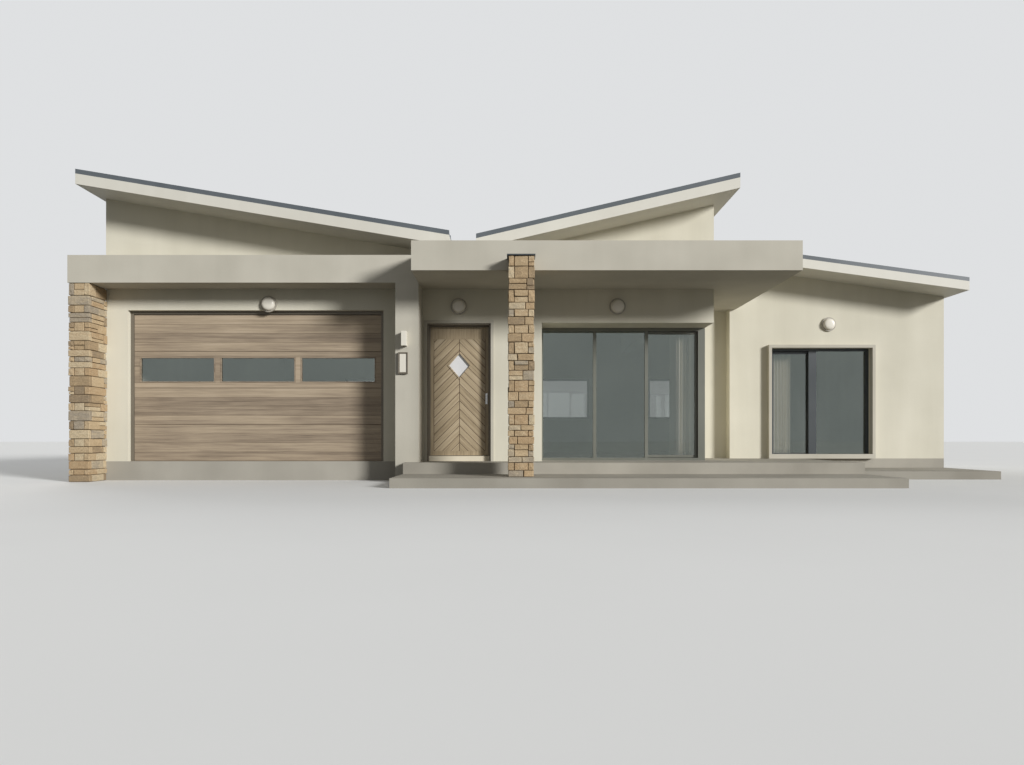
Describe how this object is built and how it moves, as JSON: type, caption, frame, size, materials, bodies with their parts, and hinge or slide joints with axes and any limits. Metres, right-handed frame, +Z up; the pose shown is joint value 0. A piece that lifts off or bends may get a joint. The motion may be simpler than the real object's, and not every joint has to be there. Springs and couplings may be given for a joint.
{
  "type": "bungalow",
  "caption": "Single-storey modern house with three single-slope roofs, garage portal, flat canopy on a stone column, sliding glass doors and a hinged front door.",
  "frame": {"origin": "on the ground, on the line of the front walls' outer faces, between the front door and the living room windows", "axes": "+X to the right along the front, +Y back into the house, +Z up; the front looks along -Y"},
  "size_m": [16.146, 12.995, 5.1571],
  "materials": {
    "render": "matt sand-coloured render",
    "paving": "smooth grey-beige concrete",
    "plinth": "matt concrete",
    "stone": "split sandstone blocks",
    "fascia": "satin off-white",
    "roof_sheet": "satin dark grey",
    "garage_wood": "weathered horizontal boards",
    "door_wood": "oiled chevron boards",
    "dark_frame": "satin anthracite",
    "threshold": "pale stone",
    "steel": "brushed",
    "glass": "clear",
    "light_base": "satin grey",
    "light_dome": "opal"
  },
  "bodies": {
    "house": {"box_lantern": "light_dome", "canopy": "render", "column_cap": "roof_sheet", "door_surrounds": "render", "entry_lintel_wall": "render", "entry_platform": "paving", "entry_step": "paving", "entry_wall": "render", "framed_box": "light_base", "front_door_frame": "dark_frame", "front_door_hinges": "steel", "front_door_threshold": "threshold", "garage_door": "garage_wood", "garage_door_frame": "dark_frame", "garage_door_glass": "glass", "garage_gable_wall": "render", "garage_roof_deck": "fascia", "garage_roof_sheet": "roof_sheet", "garage_side_wall": "render", "garage_wall_left": "render", "garage_wall_right": "render", "living_fixed_glass": "glass", "living_frame": "dark_frame", "living_gable_wall": "render", "living_roof_deck": "fascia", "living_roof_sheet": "roof_sheet", "living_side_wall": "render", "main_floor": "plinth", "main_rear_wall": "render", "patio_fixed_glass": "glass", "patio_frame": "dark_frame", "patio_terrace": "paving", "portal_slab": "render", "rear_window_frames": "dark_frame", "rear_window_glass": "glass", "recess_wall": "render", "rendered_pier": "render", "roof_fascias": "fascia", "stone_column": "stone", "stone_pier": "stone", "valley_gutter": "roof_sheet", "wall_light_bases": "light_base", "wall_light_domes": "light_dome", "wing_floor": "plinth", "wing_gable_wall": "render", "wing_rear_wall": "render", "wing_roof_deck": "fascia", "wing_roof_sheet": "roof_sheet", "wing_side_wall": "render", "wing_wall_left": "render", "wing_wall_right": "render"},
    "front_door": {"front_door_leaf": "door_wood", "front_door_glass": "glass", "front_door_handle": "steel", "front_door_knuckles": "steel"},
    "living_slider": {"living_sliding_sash": "dark_frame", "living_sliding_glass": "glass"},
    "patio_slider": {"patio_sliding_sash": "dark_frame", "patio_sliding_glass": "glass"}
  },
  "joints": [
    {"name": "front_door_hinge", "type": "hinge", "parent": "house", "child": "front_door", "pos_m": [-1.449, 0.229, 1.56], "axis": [0, 0, 1], "range_deg": [0, 95]},
    {"name": "living_slide", "type": "slide", "parent": "house", "child": "living_slider", "axis": [-1, 0, 0], "range_m": [0, 0.88]},
    {"name": "patio_slide", "type": "slide", "parent": "house", "child": "patio_slider", "axis": [1, 0, 0], "range_m": [0, 0.8]}
  ]
}
